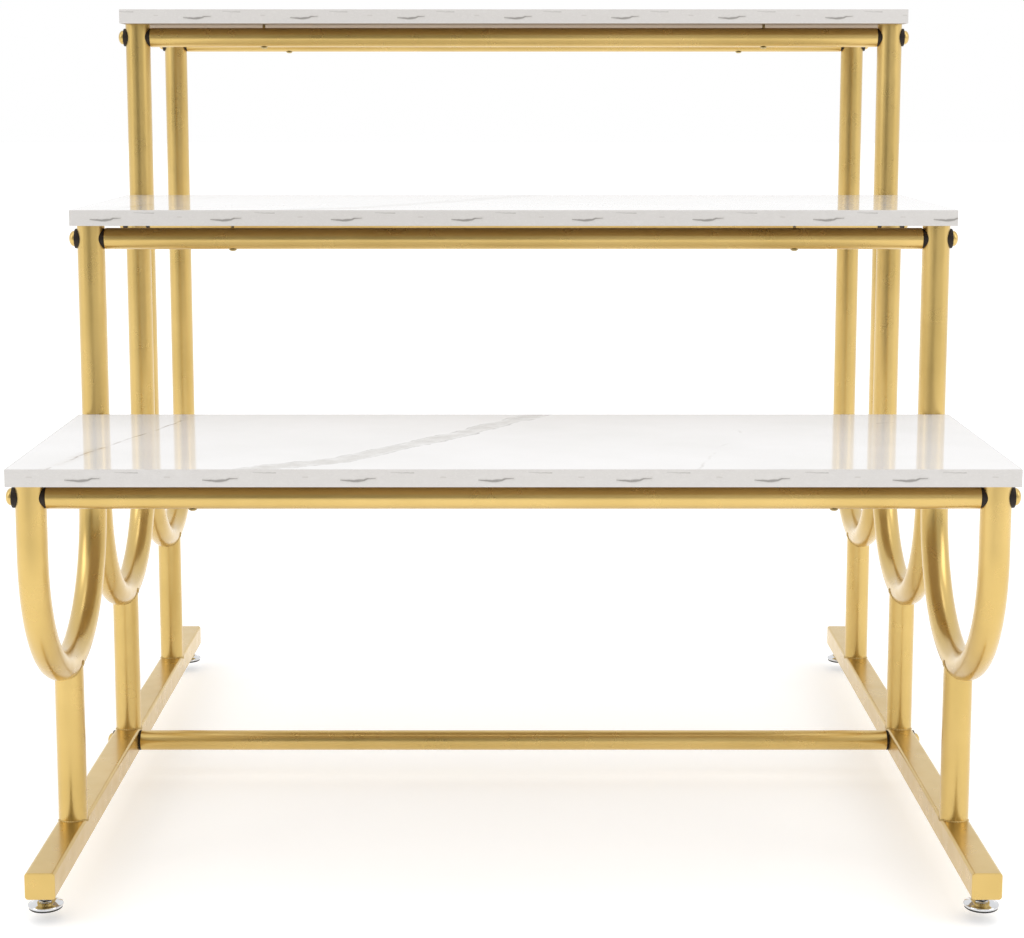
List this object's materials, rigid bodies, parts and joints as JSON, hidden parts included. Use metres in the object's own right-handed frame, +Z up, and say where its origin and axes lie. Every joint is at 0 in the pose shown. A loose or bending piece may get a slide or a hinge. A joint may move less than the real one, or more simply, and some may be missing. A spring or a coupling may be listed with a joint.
{
  "type": "tiered shelf riser",
  "caption": "Stepped floor display riser: white stone-look boards on gold tube side frames with U-bent supports, round rails and levelling feet.",
  "frame": {"origin": "on the floor, under the middle of the riser's outer box", "axes": "+X to the right seen from the front, -Y towards the front with the lowest board, +Z up"},
  "size_m": [0.9146, 0.92, 0.845],
  "materials": {
    "gold_metal": "satin",
    "stone_look_laminate": "gloss",
    "stone_look_edge": "satin",
    "fibreboard": "matte",
    "black_plastic": "satin",
    "zinc_plated_steel": "satin",
    "chrome": "polished",
    "rubber": "matte"
  },
  "bodies": {
    "frame": {"left_base_tube": "gold_metal", "left_base_front_end_cap": "gold_metal", "left_base_rear_end_cap": "gold_metal", "right_base_tube": "gold_metal", "right_base_front_end_cap": "gold_metal", "right_base_rear_end_cap": "gold_metal", "left_front_short_post": "gold_metal", "left_middle_short_post": "gold_metal", "left_rear_short_post": "gold_metal", "right_front_short_post": "gold_metal", "right_middle_short_post": "gold_metal", "right_rear_short_post": "gold_metal", "left_lower_u_tube": "gold_metal", "left_middle_u_tube": "gold_metal", "left_top_u_tube": "gold_metal", "right_lower_u_tube": "gold_metal", "right_middle_u_tube": "gold_metal", "right_top_u_tube": "gold_metal", "lower_front_rail": "gold_metal", "lower_rear_rail": "gold_metal", "middle_front_rail": "gold_metal", "middle_rear_rail": "gold_metal", "top_front_rail": "gold_metal", "top_rear_rail": "gold_metal", "lower_shelf_core": "fibreboard", "lower_shelf_top_laminate": "stone_look_laminate", "lower_shelf_bottom_laminate": "stone_look_laminate", "lower_shelf_edge_band": "stone_look_edge", "middle_shelf_core": "fibreboard", "middle_shelf_top_laminate": "stone_look_laminate", "middle_shelf_bottom_laminate": "stone_look_laminate", "middle_shelf_edge_band": "stone_look_edge", "top_shelf_core": "fibreboard", "top_shelf_top_laminate": "stone_look_laminate", "top_shelf_bottom_laminate": "stone_look_laminate", "top_shelf_edge_band": "stone_look_edge", "base_stretcher": "gold_metal", "rail_inserts": "zinc_plated_steel", "saddle_spacers": "black_plastic", "saddle_washers": "black_plastic", "stretcher_spacers": "black_plastic", "stretcher_washers": "black_plastic", "shelf_rail_bolts": "gold_metal", "stretcher_bolts": "gold_metal", "board_screws": "zinc_plated_steel", "limb_plugs": "black_plastic", "foot_nuts": "zinc_plated_steel"},
    "left_front_foot": {"left_front_foot_cup": "chrome", "left_front_foot_pad": "rubber"},
    "left_front_stud": {"left_front_foot_stud": "zinc_plated_steel"},
    "left_rear_foot": {"left_rear_foot_cup": "chrome", "left_rear_foot_pad": "rubber"},
    "left_rear_stud": {"left_rear_foot_stud": "zinc_plated_steel"},
    "right_front_foot": {"right_front_foot_cup": "chrome", "right_front_foot_pad": "rubber"},
    "right_front_stud": {"right_front_foot_stud": "zinc_plated_steel"},
    "right_rear_foot": {"right_rear_foot_cup": "chrome", "right_rear_foot_pad": "rubber"},
    "right_rear_stud": {"right_rear_foot_stud": "zinc_plated_steel"}
  },
  "joints": [
    {"name": "left_front_foot_height", "type": "slide", "parent": "frame", "child": "left_front_foot", "axis": [0, 0, -1], "range_m": [0, 0.012]},
    {"name": "left_front_stud_turn", "type": "hinge", "parent": "left_front_foot", "child": "left_front_stud", "pos_m": [-0.435, -0.418, 0.008], "axis": [0, 0, -1], "range_deg": [0, 3457]},
    {"name": "left_rear_foot_height", "type": "slide", "parent": "frame", "child": "left_rear_foot", "axis": [0, 0, -1], "range_m": [0, 0.012]},
    {"name": "left_rear_stud_turn", "type": "hinge", "parent": "left_rear_foot", "child": "left_rear_stud", "pos_m": [-0.435, 0.4378, 0.008], "axis": [0, 0, -1], "range_deg": [0, 3457]},
    {"name": "right_front_foot_height", "type": "slide", "parent": "frame", "child": "right_front_foot", "axis": [0, 0, -1], "range_m": [0, 0.012]},
    {"name": "right_front_stud_turn", "type": "hinge", "parent": "right_front_foot", "child": "right_front_stud", "pos_m": [0.435, -0.418, 0.008], "axis": [0, 0, -1], "range_deg": [0, 3457]},
    {"name": "right_rear_foot_height", "type": "slide", "parent": "frame", "child": "right_rear_foot", "axis": [0, 0, -1], "range_m": [0, 0.012]},
    {"name": "right_rear_stud_turn", "type": "hinge", "parent": "right_rear_foot", "child": "right_rear_stud", "pos_m": [0.435, 0.4378, 0.008], "axis": [0, 0, -1], "range_deg": [0, 3457]}
  ],
  "couplings": [
    {"joint": "left_front_stud_turn", "follows": "left_front_foot_height", "rad_per_m": 5026.5},
    {"joint": "left_rear_stud_turn", "follows": "left_rear_foot_height", "rad_per_m": 5026.5},
    {"joint": "right_front_stud_turn", "follows": "right_front_foot_height", "rad_per_m": 5026.5},
    {"joint": "right_rear_stud_turn", "follows": "right_rear_foot_height", "rad_per_m": 5026.5}
  ]
}
